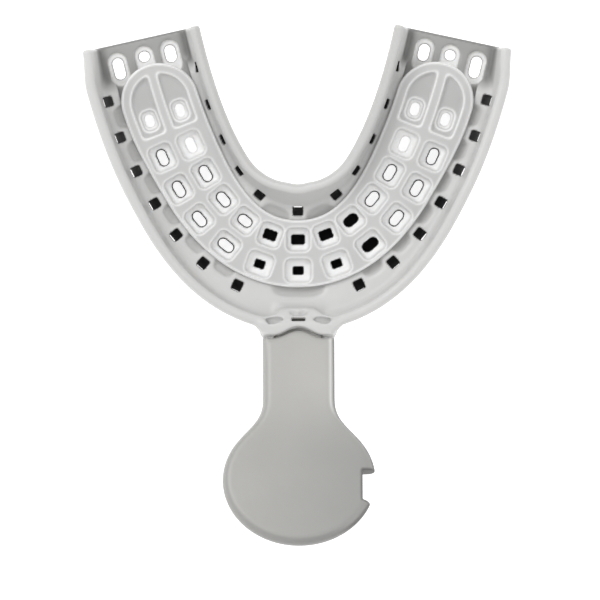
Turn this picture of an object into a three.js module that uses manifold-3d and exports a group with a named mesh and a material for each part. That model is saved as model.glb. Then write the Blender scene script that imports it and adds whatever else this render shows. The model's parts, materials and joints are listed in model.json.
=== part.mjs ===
// A lower-arch dental impression tray: a windowed trough, the pocketed spacer that lies on its floor
// and the handle that pushes into its front. Millimetres, +Z up, open ends towards +Y, handle -Y.
//
// The trough follows one spine. A place on it is (s, m, z): s runs along the spine from the front
// centre, positive to +X; m runs across the trough, positive towards the tongue.
import * as THREE from "three";
import { mergeVertices } from "three/addons/utils/BufferGeometryUtils.js";
import Module from "manifold-3d";

const wasm = await Module();
wasm.setup();

const { degToRad, lerp, smoothstep } = THREE.MathUtils;

// Arch: the spine runs from the front centre to the middle of each open end.
const ARCH_HALF_WIDTH = 27.7;
const ARCH_DEPTH = 38.5;
const ARCH_END_FLARE = degToRad(12.3);
const ARCH_FRONT_PULL = 15; // how bluntly the front is rounded
const ARCH_END_PULL = 20.5; // how straight the legs are
const ARCH_STEPS = 48;

// Trough walls. Reach is measured from the spine to the rim, height from the underside. A fade is the
// stretch of the spine over which the front's size becomes the leg's.
const WALL = 1.5;
const RIM_BEAD = 1.9;
const BUCCAL_REACH_FRONT = 12.6;
const BUCCAL_REACH_LEG = 10.6;
const BUCCAL_REACH_END = 9.6;
const BUCCAL_REACH_FADE = [0, 27];
const BUCCAL_END_LENGTH = 6.8; // the wall draws in over this stretch at each open end
const BUCCAL_HEIGHT_FRONT = 9.3;
const BUCCAL_HEIGHT_LEG = 12;
const BUCCAL_HEIGHT_FADE = [8, 28];
const BUCCAL_SWEEP = degToRad(82); // how far the wall turns up from its foot to its rim
const LINGUAL_REACH_FRONT = 11.6;
const LINGUAL_REACH_LEG = 9.7;
const LINGUAL_REACH_FADE = [5, 22];
const LINGUAL_HEIGHT = 10;
const LINGUAL_FOOT_RADIUS = 0.6;
const LINGUAL_BEND = 1 / 3; // share of the wall's steps spent on its foot
const WALL_STEPS = 6;

// Spacer: a pocketed strip that covers the floor and stops short of the open ends.
const CLEARANCE = 0.3;
const SPACER_OUTER_FRONT = 5.75;
const SPACER_OUTER_LEG = 6.5;
const SPACER_OUTER_FADE = [24, 38];
const SPACER_INNER_FRONT = 6.2;
const SPACER_INNER_LEG = 7.3;
const SPACER_INNER_FADE = [6, 32];
const SPACER_THICKNESS = 3.2;
const SPACER_EDGE = 0.3;
const SPACER_END_MARGIN = 4.8;
const SPACER_EDGE_STEPS = 22;
const SPACER_END_STEPS = 6;
const FOOT_OFFSET = 1.1; // from the spacer's edge to the foot of each wall

// Ledge beside the spacer, which lies in a well between the two ledges and covers their edges.
const LEDGE_DROP = 0.9; // from the spacer's top down to the ledge
const LEDGE_OVERLAP = 0.6; // how far the spacer's top stands out past its body
const LEDGE_SLOPE = 0.15; // the ledge rises a little towards the wall
const LEDGE_END_MARGIN = 4.2; // the ledge has run down to the floor this far from each open end
const LEDGE_RUN_DOWN = 4.5;
const LEDGE_STUB = 0.1; // what is left of its height there

// Scallops: shallow hollows in the ledges between the windows.
const SCALLOP_LENGTH = 3.8;
const SCALLOP_WIDTH = 1.5;
const SCALLOP_DEPTH = 0.8;
const FRONT_SCALLOP_LENGTH = 8.8;
const INNER_SCALLOP_LENGTH = 5;

// Square pockets, in two rows, and the pair of D-shaped pockets at each end.
const POCKETS_PER_LEG = 5;
const ROW_OFFSET = 2.75;
const POCKET_LENGTH = 4.8;
const POCKET_WIDTH = 4.3;
const POCKET_DEPTH = 1.8;
const POCKET_DRAFT = 0.35;
const POCKET_CORNER = 1.1;
const POCKET_WEB = 0.8;
const POCKET_D_WEB = 1.5; // between the last square pockets and the D-shaped ones
const D_POCKET_LENGTH = 10.5;
const D_POCKET_DEPTH = 0.9;
const D_POCKET_CORNER = 0.9;
const D_ARC_STEPS = 6;
const D_RIB = 1.7;
const D_BORDER = 1.8;
const D_WELL_LENGTH = 3.7; // the deeper pocket round each hole in a D-shaped one
const D_WELL_WIDTH = 2.8;
const D_HOLE_PLACE = 2.8; // from the pocket's near edge
const D_HOLE_OFFSET = 2.85; // from the rib's middle
const D_SLOT_LENGTH = 2.9;
const SLOT_LENGTH = 3.4;
const SLOT_WIDTH = 2.1;
const FRONT_PLACES = 2; // pockets nearer the front than this have the smaller, squarer slots
const FRONT_SLOT_OUTER = { length: 2.1, width: 1.7, corner: 0.4 };
const FRONT_SLOT_INNER = { length: 2.6, width: 2, corner: 0.4 };
const SLOT_MARGIN = 0.25; // the trough's holes are this much larger all round

// Recesses in the bare floor at each open end.
const END_RECESS_ROWS = [-5, -0.15, 4.5];
const END_SLOT_LENGTHS = [3.8, 1.8, 3];
const END_RECESS_WIDTH = 3.4;
const END_RECESS_LENGTH = 6;
const END_RECESS_DEPTH = 0.7;
const END_RECESS_MARGIN = 1.3;
const END_SLOT_WIDTH = 1.9;
const END_SLOT_INSET = 1; // from the recess's far edge to its slot

// Windows through the walls.
const BUCCAL_WINDOWS = 7;
const BUCCAL_WINDOW_START = 7.7;
const BUCCAL_WINDOW_END_MARGIN = 9.1;
const BUCCAL_WINDOW_GROWTH = 0.1; // how much the spacing grows towards the open end
const BUCCAL_WINDOW_OFFSET = 2.15; // from the spacer's edge to the window's middle
const BUCCAL_WINDOW_LEAN = degToRad(26); // the windows lean outwards going down
const LINGUAL_WINDOWS = 5;
const LINGUAL_WINDOW_START = 13.2;
const LINGUAL_WINDOW_END_MARGIN = 7.6;
const LINGUAL_WINDOW_OFFSET = 1.7;
const LINGUAL_LIFT_FRONT = 0.3; // how far its middle lies above the ledge
const LINGUAL_LIFT_LEG = 0.8;
const LINGUAL_LEAN_FRONT = degToRad(30);
const LINGUAL_LEAN_LEG = degToRad(65);
const LINGUAL_LEAN_FADE = [8, 28];
const WINDOW_SIZE = 1.7;
const WINDOW_CUT = 12; // the window's cutter passes right through the thickest wall

// Handle. Its own frame starts at the top of the seam: -Y along the handle, +Z out of its top.
const HANDLE_TILT = degToRad(18);
const HANDLE_SEAM_Y = -14;
const HANDLE_SEAM_Z = 9.6;
const HANDLE_THICKNESS = 3.2;
const HANDLE_CHAMFER = 0.9;
const NECK_WIDTH = 12.7;
const NECK_LENGTH = 11.7;
const PAD_HALF_WIDTH = 13.5;
const PAD_HALF_LENGTH = 12;
const PAD_CENTRE = 26.6;
const PAD_JOIN = degToRad(145); // where round the oval the neck's fillet lands
const PAD_FILLET = 3.9;
const NOTCH_TOP = 25.15;
const NOTCH_HEIGHT = 5.9;
const NOTCH_DEPTH = 2.3;
const NOTCH_SLANT = 0.6;
const SEAM_ARCH_WIDTH = 9;
const SEAM_ARCH_RISE = 1.4;

const PLAN_STEPS = 9;
const SAME_PLACE = 0.05;

// Socket for the handle's tongue, in the handle's frame.
const TONGUE_WIDTH = 8;
const TONGUE_LENGTH = 4;
const TONGUE_THICKNESS = 1.6;
const SOCKET_WALL = 1;
const SOCKET_SHOULDER = 1.1;
const SOCKET_BATTER = 2.2; // how far the socket's inner end slopes out on its way down
const SOCKET_TOE = 2.4; // how far it runs down into the wall
const CATCH_WIDTH = 2.5;
const CATCH_LENGTH = 0.8;
const CATCH_INSET = 2.7;
const NUB_HEIGHT = 0.2;

const RIGHT_SPINE = new THREE.CubicBezierCurve(
  new THREE.Vector2(0, 0),
  new THREE.Vector2(ARCH_FRONT_PULL, 0),
  new THREE.Vector2(
    ARCH_HALF_WIDTH - ARCH_END_PULL * Math.sin(ARCH_END_FLARE),
    ARCH_DEPTH - ARCH_END_PULL * Math.cos(ARCH_END_FLARE),
  ),
  new THREE.Vector2(ARCH_HALF_WIDTH, ARCH_DEPTH),
);
const LEG_LENGTH = RIGHT_SPINE.getLength();
const SPACER_END = LEG_LENGTH - SPACER_END_MARGIN;
const SPACER_BOTTOM = WALL + CLEARANCE;
const SPACER_TOP = SPACER_BOTTOM + SPACER_THICKNESS;
const LEDGE_TOP = SPACER_TOP - LEDGE_DROP;
const BEYOND = 1; // how far a cutter passes the face that it opens
const CAVITY_HEIGHT = TONGUE_THICKNESS + 2 * CLEARANCE;
const SOCKET_HEIGHT = CAVITY_HEIGHT + 2 * SOCKET_WALL;

// The size at s of something that goes from its front size to its leg size over a fade.
function faded(s, front, leg, [from, to]) {
  return lerp(front, leg, smoothstep(Math.abs(s), from, to));
}

function buccalReach(s) {
  const reach = faded(s, BUCCAL_REACH_FRONT, BUCCAL_REACH_LEG, BUCCAL_REACH_FADE);
  return faded(s, reach, BUCCAL_REACH_END, [LEG_LENGTH - BUCCAL_END_LENGTH, LEG_LENGTH]);
}

function lingualReach(s) {
  return faded(s, LINGUAL_REACH_FRONT, LINGUAL_REACH_LEG, LINGUAL_REACH_FADE);
}

function buccalHeight(s) {
  return faded(s, BUCCAL_HEIGHT_FRONT, BUCCAL_HEIGHT_LEG, BUCCAL_HEIGHT_FADE);
}

function spacerOuter(s) {
  return faded(s, SPACER_OUTER_FRONT, SPACER_OUTER_LEG, SPACER_OUTER_FADE);
}

function spacerInner(s) {
  return faded(s, SPACER_INNER_FRONT, SPACER_INNER_LEG, SPACER_INNER_FADE);
}

// The ledge's height at its edge on the well.
function ledgeHeight(s) {
  const end = LEG_LENGTH - LEDGE_END_MARGIN;
  return faded(s, LEDGE_TOP, WALL + LEDGE_STUB, [end - LEDGE_RUN_DOWN, end]);
}

// The well's two side walls, which the spacer's body stands between.
function wellOuter(s) {
  return spacerOuter(s) - LEDGE_OVERLAP + CLEARANCE;
}

function wellInner(s) {
  return spacerInner(s) - LEDGE_OVERLAP + CLEARANCE;
}

// The point at (s, m, z), with the spine's unit tangent there.
function onSpine(s, m, z) {
  const share = Math.min(Math.abs(s) / LEG_LENGTH, 1);
  const side = s < 0 ? -1 : 1;
  const base = RIGHT_SPINE.getPointAt(share);
  const tangent = RIGHT_SPINE.getTangentAt(share);
  const spare = Math.max(Math.abs(s) - LEG_LENGTH, 0);
  const along = new THREE.Vector3(tangent.x, side * tangent.y, 0);
  const point = new THREE.Vector3(
    side * (base.x + tangent.x * spare - tangent.y * m),
    base.y + tangent.y * spare + tangent.x * m,
    z,
  );
  return { point, along };
}

// The frame at (s, m, z): X along the spine, Y towards the tongue, Z up.
function seat(s, m, z) {
  const { point, along } = onSpine(s, m, z);
  const up = new THREE.Vector3(0, 0, 1);
  const inward = new THREE.Vector3().crossVectors(up, along);
  return new THREE.Matrix4().makeBasis(along, inward, up).setPosition(point);
}

// A closed body through rings of points; endFace gives the rings' outline for the two end caps.
function loft(rings, endFace) {
  const count = rings[0].length;
  const last = (rings.length - 1) * count;
  const index = [];
  for (let ring = 0; ring < last; ring += count) {
    for (let j = 0; j < count; j += 1) {
      const a = ring + j;
      const b = ring + ((j + 1) % count);
      index.push(a, b, b + count, a, b + count, a + count);
    }
  }
  for (const [a, b, c] of THREE.ShapeUtils.triangulateShape(endFace, [])) {
    index.push(a, c, b, last + a, last + b, last + c);
  }
  const places = rings.flat().flatMap((p) => [p.x, p.y, p.z]);
  const geometry = new THREE.BufferGeometry();
  geometry.setAttribute("position", new THREE.Float32BufferAttribute(places, 3));
  geometry.setIndex(index);
  return geometry;
}

// A body through level outlines, each an array of points at its own height.
function stack(rings) {
  return loft(rings, rings[0].map((p) => new THREE.Vector2(p.x, p.y)));
}

function toSolid(geometry) {
  const bare = geometry.clone();
  bare.deleteAttribute("normal");
  bare.deleteAttribute("uv");
  const merged = mergeVertices(bare, 1e-4);
  const mesh = new wasm.Mesh({
    numProp: 3,
    vertProperties: new Float32Array(merged.attributes.position.array),
    triVerts: new Uint32Array(merged.index.array),
  });
  return new wasm.Manifold(mesh);
}

function toGeometry(solid) {
  const mesh = solid.getMesh();
  const geometry = new THREE.BufferGeometry();
  geometry.setAttribute("position", new THREE.BufferAttribute(mesh.vertProperties, 3));
  geometry.setIndex(new THREE.BufferAttribute(mesh.triVerts, 1));
  return geometry;
}

function cut(solid, geometries) {
  return geometries.reduce((left, geometry) => left.subtract(toSolid(geometry)), solid);
}

function join(solid, geometries) {
  return geometries.reduce((whole, geometry) => whole.add(toSolid(geometry)), solid);
}

// A rounded rectangle centred on the origin, counter-clockwise, at height z.
function roundedOutline(length, width, corner, z) {
  const radius = Math.min(corner, length / 2, width / 2);
  const points = [];
  for (let quarter = 0; quarter < 4; quarter += 1) {
    const x = (length / 2 - radius) * (quarter === 0 || quarter === 3 ? 1 : -1);
    const y = (width / 2 - radius) * (quarter < 2 ? 1 : -1);
    for (let step = 0; step <= 2; step += 1) {
      const angle = (quarter + step / 2) * (Math.PI / 2);
      points.push(new THREE.Vector3(x + radius * Math.cos(angle), y + radius * Math.sin(angle), z));
    }
  }
  return points;
}

// A straight hole with rounded corners, cut along Z through everything.
function slotCutter(s, m, length, width, corner = width / 2) {
  const outline = (z) => roundedOutline(length, width, corner, z);
  return stack([outline(-BEYOND), outline(SPACER_TOP + BEYOND)]).applyMatrix4(seat(s, m, 0));
}

// A pocket with drafted sides; length and width are its mouth's, on the face at height top.
function pocketCutter(s, m, top, length, width, depth) {
  const outline = (z) => {
    const spread = (2 * POCKET_DRAFT * z) / POCKET_DEPTH;
    return roundedOutline(length + spread, width + spread, POCKET_CORNER, z);
  };
  return stack([outline(-depth), outline(BEYOND)]).applyMatrix4(seat(s, m, top));
}

// Where the square pockets and the holes through them lie.
const D_POCKET_NEAR = SPACER_END - D_BORDER - D_POCKET_LENGTH;
const LAST_POCKET = D_POCKET_NEAR - POCKET_D_WEB - POCKET_LENGTH / 2;
const POCKET_PITCH = LAST_POCKET / POCKETS_PER_LEG;

function pocketLength(s, m) {
  const step = 0.5;
  const before = onSpine(s - step, m, 0).point;
  const after = onSpine(s + step, m, 0).point;
  const room = POCKET_PITCH * (before.distanceTo(after) / (2 * step)) - POCKET_WEB;
  return Math.min(POCKET_LENGTH, room);
}

const pockets = [];
for (let place = -POCKETS_PER_LEG; place <= POCKETS_PER_LEG; place += 1) {
  for (const m of [-ROW_OFFSET, ROW_OFFSET]) {
    const s = place * POCKET_PITCH;
    const length = pocketLength(s, m);
    const inFront = Math.abs(place) < FRONT_PLACES;
    const front = m < 0 ? FRONT_SLOT_OUTER : FRONT_SLOT_INNER;
    const slot = inFront ? front : { length: SLOT_LENGTH, width: SLOT_WIDTH, corner: SLOT_WIDTH / 2 };
    const room = length - 4 * POCKET_DRAFT;
    pockets.push({ s, m, length, slot: { ...slot, length: Math.min(slot.length, room) } });
  }
}

// The hole through a square pocket, larger all round by a margin.
function pocketSlot(pocket, margin) {
  const { length, width, corner } = pocket.slot;
  const size = [length + 2 * margin, width + 2 * margin, corner + margin];
  return slotCutter(pocket.s, pocket.m, ...size);
}

// The D-shaped pockets' holes, near the square pockets.
const D_ROWS = [-1, 1].map((side) => {
  const middle = (spacerInner(SPACER_END) - spacerOuter(SPACER_END)) / 2;
  return { side, edge: middle + (side * D_RIB) / 2, hole: middle + side * D_HOLE_OFFSET };
});
const D_HOLE_AT = D_POCKET_NEAR + D_HOLE_PLACE;

// The middle line of the wall: from the buccal foot or lingual foot (share 0) to the rim (share 1).
function buccalWall(s, share) {
  const foot = spacerOuter(s) + FOOT_OFFSET;
  const angle = share * BUCCAL_SWEEP;
  const rise = (1 - Math.cos(angle)) / (1 - Math.cos(BUCCAL_SWEEP));
  const run = Math.sin(angle) / Math.sin(BUCCAL_SWEEP);
  const m = -lerp(foot, buccalReach(s), run);
  return new THREE.Vector2(m, lerp(WALL / 2, buccalHeight(s) - RIM_BEAD / 2, rise));
}

function lingualWall(s, share) {
  const knee = new THREE.Vector2(spacerInner(s) + FOOT_OFFSET, WALL / 2);
  const rim = new THREE.Vector2(lingualReach(s), LINGUAL_HEIGHT - RIM_BEAD / 2);
  const foot = new THREE.Vector2(knee.x - LINGUAL_FOOT_RADIUS, knee.y);
  const top = rim.clone().sub(knee).setLength(LINGUAL_FOOT_RADIUS).add(knee);
  return share < LINGUAL_BEND
    ? new THREE.QuadraticBezierCurve(foot, knee, top).getPoint(share / LINGUAL_BEND)
    : top.lerp(rim, (share - LINGUAL_BEND) / (1 - LINGUAL_BEND));
}

// The trough's cross-section at s, counter-clockwise in (m, z): the walls' middle lines thickened, with
// a bead at each rim, and filled up to the ledge on both sides of the spacer's well.
function troughSection(s) {
  const middle = [];
  for (let i = WALL_STEPS; i >= 0; i -= 1) {
    middle.push(buccalWall(s, i / WALL_STEPS));
  }
  for (let i = 0; i <= WALL_STEPS; i += 1) {
    middle.push(lingualWall(s, i / WALL_STEPS));
  }
  const ledge = ledgeHeight(s);
  const onLedge = (point) => {
    const well = point.x < 0 ? wellOuter(s) : wellInner(s);
    const out = Math.abs(point.x) - well;
    return new THREE.Vector2(point.x, Math.max(point.y, ledge + LEDGE_SLOPE * out));
  };
  const lower = [];
  const upper = [];
  middle.forEach((point, i) => {
    const before = middle[Math.max(i - 1, 0)];
    const after = middle[Math.min(i + 1, middle.length - 1)];
    const across = after.clone().sub(before).normalize();
    const atRim = i === 0 || i === middle.length - 1;
    const half = (atRim ? RIM_BEAD : WALL) / 2;
    const side = Math.sign(point.x);
    if (i === WALL_STEPS || i === WALL_STEPS + 1) {
      const well = side < 0 ? -wellOuter(s) : wellInner(s);
      const edge = [new THREE.Vector2(well, ledge), new THREE.Vector2(well, WALL)];
      lower.push(new THREE.Vector2(point.x, 0));
      upper.push(...(side < 0 ? edge : edge.reverse()));
      return;
    }
    const up = new THREE.Vector2(-across.y, across.x);
    lower.push(point.clone().addScaledVector(up, -half));
    upper.push(onLedge(point.clone().addScaledVector(up, half)));
  });
  const cap = (i, j) => {
    const out = middle[i].clone().sub(middle[j]).setLength(RIM_BEAD / 2);
    return middle[i].clone().add(out);
  };
  const end = middle.length - 1;
  return [...lower, cap(end, end - 1), ...upper.reverse(), cap(0, 1)];
}

function troughBody() {
  const rings = [];
  for (let step = 0; step <= ARCH_STEPS; step += 1) {
    const s = LEG_LENGTH * ((2 * step) / ARCH_STEPS - 1);
    rings.push(troughSection(s).map((p) => onSpine(s, p.x, p.y).point));
  }
  return loft(rings, troughSection(LEG_LENGTH));
}

// A square window whose axis passes through (s, m, z), leaning by an angle from the vertical.
function windowCutter(s, m, z, lean) {
  const box = new THREE.BoxGeometry(WINDOW_SIZE, WINDOW_SIZE, WINDOW_CUT);
  return box.rotateX(lean).applyMatrix4(seat(s, m, z));
}

function buccalWindow(s) {
  return windowCutter(s, -spacerOuter(s) - BUCCAL_WINDOW_OFFSET, LEDGE_TOP, -BUCCAL_WINDOW_LEAN);
}

// The lingual windows lean over further as the wall gets steeper.
function lingualWindow(s) {
  const lean = faded(s, LINGUAL_LEAN_FRONT, LINGUAL_LEAN_LEG, LINGUAL_LEAN_FADE);
  const lift = faded(s, LINGUAL_LIFT_FRONT, LINGUAL_LIFT_LEG, LINGUAL_LEAN_FADE);
  return windowCutter(s, spacerInner(s) + LINGUAL_WINDOW_OFFSET, LEDGE_TOP + lift, lean);
}

// A shallow hollow in the ledge, beside the spacer on the side that m lies.
function scallopCutter(s, m, length) {
  const outline = (z) => roundedOutline(length, SCALLOP_WIDTH, SCALLOP_WIDTH / 2, z);
  const hollow = stack([outline(-SCALLOP_DEPTH), outline(BEYOND)]);
  return hollow.applyMatrix4(seat(s, m, LEDGE_TOP));
}

// Places along one leg from the first to the last, evenly or with a spacing that grows.
function alongLeg(count, first, last, growth) {
  return Array.from({ length: count }, (_, i) => {
    const share = i / (count - 1);
    return lerp(first, last, share - growth * share * (1 - share));
  });
}

const BUCCAL_PLACES = alongLeg(
  BUCCAL_WINDOWS,
  BUCCAL_WINDOW_START,
  LEG_LENGTH - BUCCAL_WINDOW_END_MARGIN,
  BUCCAL_WINDOW_GROWTH,
);
const LINGUAL_PLACES = alongLeg(
  LINGUAL_WINDOWS,
  LINGUAL_WINDOW_START,
  LEG_LENGTH - LINGUAL_WINDOW_END_MARGIN,
  0,
);

function windowCutters() {
  const cutters = [lingualWindow(0)];
  for (const side of [-1, 1]) {
    cutters.push(...BUCCAL_PLACES.map((s) => buccalWindow(side * s)));
    cutters.push(...LINGUAL_PLACES.map((s) => lingualWindow(side * s)));
  }
  return cutters;
}

function scallopCutters() {
  const outer = (s) => -spacerOuter(s) - SCALLOP_WIDTH / 2;
  const cutters = [scallopCutter(0, outer(0), FRONT_SCALLOP_LENGTH)];
  for (const side of [-1, 1]) {
    for (let i = 1; i < BUCCAL_WINDOWS; i += 1) {
      const s = (BUCCAL_PLACES[i - 1] + BUCCAL_PLACES[i]) / 2;
      cutters.push(scallopCutter(side * s, outer(s), SCALLOP_LENGTH));
    }
    const s = LINGUAL_WINDOW_START / 2;
    cutters.push(scallopCutter(side * s, spacerInner(s) + SCALLOP_WIDTH / 2, INNER_SCALLOP_LENGTH));
  }
  return cutters;
}

function endRecessCutters() {
  const cutters = [];
  for (const side of [-1, 1]) {
    END_RECESS_ROWS.forEach((m, row) => {
      const far = LEG_LENGTH - END_RECESS_MARGIN;
      const s = side * (far - END_RECESS_LENGTH / 2);
      const size = [END_RECESS_LENGTH, END_RECESS_WIDTH, END_RECESS_WIDTH / 2];
      const outline = (z) => roundedOutline(...size, z);
      const recess = stack([outline(WALL - END_RECESS_DEPTH), outline(WALL + BEYOND)]);
      cutters.push(recess.applyMatrix4(seat(s, m, 0)));
      const slot = END_SLOT_LENGTHS[row];
      const place = far - END_SLOT_INSET - slot / 2;
      cutters.push(slotCutter(side * place, m, slot, END_SLOT_WIDTH));
    });
  }
  return cutters;
}

// The handle's frame seen from the tray.
const handleFrame = new THREE.Matrix4()
  .makeRotationX(-HANDLE_TILT)
  .setPosition(0, HANDLE_SEAM_Y, HANDLE_SEAM_Z);

// The arch that the seam makes in plan; y is where its flat ends lie.
function archPoints(y) {
  const points = [];
  const steps = 8;
  for (let i = 0; i <= steps; i += 1) {
    const share = 1 - (2 * i) / steps;
    const rise = SEAM_ARCH_RISE * Math.cos((share * Math.PI) / 2) ** 2;
    points.push(new THREE.Vector2((share * SEAM_ARCH_WIDTH) / 2, y + rise));
  }
  return points;
}

// A flat plate with a given plan in the handle's frame, between two heights.
function platePlan(points, low, high) {
  const plate = new THREE.ExtrudeGeometry(new THREE.Shape(points), {
    depth: high - low,
    bevelEnabled: false,
  });
  return plate.translate(0, 0, low);
}

function socketBlock() {
  const half = NECK_WIDTH / 2;
  const depth = TONGUE_LENGTH + CLEARANCE + SOCKET_WALL;
  const plan = new THREE.Shape();
  plan.moveTo(-half, 0);
  plan.lineTo(half, 0);
  plan.quadraticCurveTo(half, SOCKET_SHOULDER, half + SOCKET_SHOULDER, SOCKET_SHOULDER);
  plan.lineTo(half, 2 * SOCKET_SHOULDER);
  plan.lineTo(half, depth + SOCKET_BATTER);
  plan.lineTo(-half, depth + SOCKET_BATTER);
  plan.lineTo(-half, 2 * SOCKET_SHOULDER);
  plan.lineTo(-half - SOCKET_SHOULDER, SOCKET_SHOULDER);
  plan.quadraticCurveTo(-half, SOCKET_SHOULDER, -half, 0);
  const tall = 3 * SOCKET_HEIGHT;
  const post = new THREE.ExtrudeGeometry(plan, {
    depth: tall,
    bevelEnabled: false,
    curveSegments: 4,
  });
  post.translate(0, 0, -tall);
  const side = new THREE.Shape();
  side.moveTo(-BEYOND, 0);
  side.lineTo(-BEYOND, -SOCKET_HEIGHT);
  side.lineTo(0, -SOCKET_HEIGHT);
  side.lineTo(depth + SOCKET_BATTER, -SOCKET_HEIGHT - SOCKET_TOE);
  side.lineTo(depth, 0);
  const wedge = new THREE.ExtrudeGeometry(side, { depth: 3 * NECK_WIDTH, bevelEnabled: false });
  wedge.translate(0, 0, -1.5 * NECK_WIDTH);
  const turn = new THREE.Matrix4().makeBasis(
    new THREE.Vector3(0, 1, 0),
    new THREE.Vector3(0, 0, 1),
    new THREE.Vector3(1, 0, 0),
  );
  wedge.applyMatrix4(turn);
  const block = toSolid(post).intersect(toSolid(wedge));
  return toGeometry(block).applyMatrix4(handleFrame);
}

function socketCutters() {
  const half = TONGUE_WIDTH / 2 + CLEARANCE;
  const depth = TONGUE_LENGTH + CLEARANCE;
  const cavity = new THREE.BoxGeometry(2 * half, 2 * depth, CAVITY_HEIGHT);
  cavity.translate(0, 0, -SOCKET_WALL - CAVITY_HEIGHT / 2);
  const front = -3 * BEYOND;
  const corners = [[-NECK_WIDTH, 0], [-NECK_WIDTH, front], [NECK_WIDTH, front], [NECK_WIDTH, 0]];
  const outline = corners.map(([x, y]) => new THREE.Vector2(x, y)).concat(archPoints(0));
  const mouth = platePlan(outline, -SOCKET_HEIGHT - BEYOND, BEYOND);
  const catchHole = new THREE.BoxGeometry(CATCH_WIDTH, CATCH_LENGTH, 2 * SOCKET_WALL);
  catchHole.translate(0, CATCH_INSET, -SOCKET_WALL / 2);
  return [cavity, mouth, catchHole].map((geometry) => geometry.applyMatrix4(handleFrame));
}

function traySolid() {
  const body = join(toSolid(troughBody()), [socketBlock()]);
  const holes = pockets.map((pocket) => pocketSlot(pocket, SLOT_MARGIN));
  for (const side of [-1, 1]) {
    for (const row of D_ROWS) {
      const size = [D_SLOT_LENGTH + 2 * SLOT_MARGIN, SLOT_WIDTH + 2 * SLOT_MARGIN];
      holes.push(slotCutter(side * D_HOLE_AT, row.hole, ...size));
    }
  }
  const hollows = [...scallopCutters(), ...endRecessCutters(), ...socketCutters()];
  return cut(body, [...holes, ...windowCutters(), ...hollows]);
}

// The spacer's outline at height z, pulled in by inset: outer edge, right end, inner edge, left end.
function spacerOutline(inset, z) {
  const radius = (spacerOuter(SPACER_END) + spacerInner(SPACER_END)) / 2;
  const bend = SPACER_END - radius;
  const middle = radius - spacerOuter(SPACER_END);
  const edge = (side, from, to) => {
    const points = [];
    for (let i = 0; i < SPACER_EDGE_STEPS; i += 1) {
      const s = lerp(from, to, i / SPACER_EDGE_STEPS);
      const m = side < 0 ? inset - spacerOuter(s) : spacerInner(s) - inset;
      points.push(onSpine(s, m, z).point);
    }
    return points;
  };
  const end = (side) => {
    const points = [];
    for (let i = 0; i < SPACER_END_STEPS; i += 1) {
      const angle = (i / SPACER_END_STEPS - 0.5) * Math.PI;
      const s = side * (bend + (radius - inset) * Math.cos(angle));
      points.push(onSpine(s, middle + side * (radius - inset) * Math.sin(angle), z).point);
    }
    return points;
  };
  return [...edge(-1, -bend, bend), ...end(1), ...edge(1, bend, -bend), ...end(-1)];
}

// The outline of one D-shaped pocket: straight along the rib, round at the spacer's end.
function dPocketOutline(leg, row, inset, z) {
  const near = D_POCKET_NEAR + inset;
  const radius = (spacerOuter(SPACER_END) + spacerInner(SPACER_END)) / 2 - D_BORDER;
  const centre = SPACER_END - D_BORDER - radius;
  const middle = row.edge - (row.side * D_RIB) / 2;
  const flat = row.edge + row.side * inset;
  const far = middle + row.side * (radius - inset);
  const corner = D_POCKET_CORNER;
  const places = [[near + corner, flat], [near, flat + row.side * corner]];
  places.push([near, far - row.side * corner], [near + corner, far]);
  const start = Math.asin(Math.min((D_RIB / 2 + inset + corner) / (radius - inset), 1));
  for (let i = 0; i <= D_ARC_STEPS; i += 1) {
    const angle = lerp(Math.PI / 2, start, i / D_ARC_STEPS);
    const s = centre + (radius - inset) * Math.cos(angle);
    places.push([s, middle + row.side * (radius - inset) * Math.sin(angle)]);
  }
  places.push([centre + (radius - inset) * Math.cos(start) - corner, flat]);
  const points = places.map(([s, m]) => onSpine(leg * s, m, z).point);
  return leg * row.side > 0 ? points.reverse() : points;
}

function spacerSolid() {
  const flange = LEDGE_TOP + CLEARANCE;
  const body = stack([
    spacerOutline(LEDGE_OVERLAP, SPACER_BOTTOM),
    spacerOutline(LEDGE_OVERLAP, flange),
    spacerOutline(0, flange),
    spacerOutline(0, SPACER_TOP - SPACER_EDGE),
    spacerOutline(SPACER_EDGE, SPACER_TOP),
  ]);
  const cutters = [];
  for (const pocket of pockets) {
    const size = [pocket.length, POCKET_WIDTH, POCKET_DEPTH];
    cutters.push(pocketCutter(pocket.s, pocket.m, SPACER_TOP, ...size));
    cutters.push(pocketSlot(pocket, 0));
  }
  for (const leg of [-1, 1]) {
    for (const row of D_ROWS) {
      const low = SPACER_TOP - D_POCKET_DEPTH;
      const floor = dPocketOutline(leg, row, POCKET_DRAFT / 2, low);
      cutters.push(stack([floor, dPocketOutline(leg, row, 0, SPACER_TOP + BEYOND)]));
      const well = [D_WELL_LENGTH, D_WELL_WIDTH, POCKET_DEPTH - D_POCKET_DEPTH];
      cutters.push(pocketCutter(leg * D_HOLE_AT, row.hole, low, ...well));
      cutters.push(slotCutter(leg * D_HOLE_AT, row.hole, D_SLOT_LENGTH, SLOT_WIDTH));
    }
  }
  return cut(toSolid(body), cutters);
}

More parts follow.
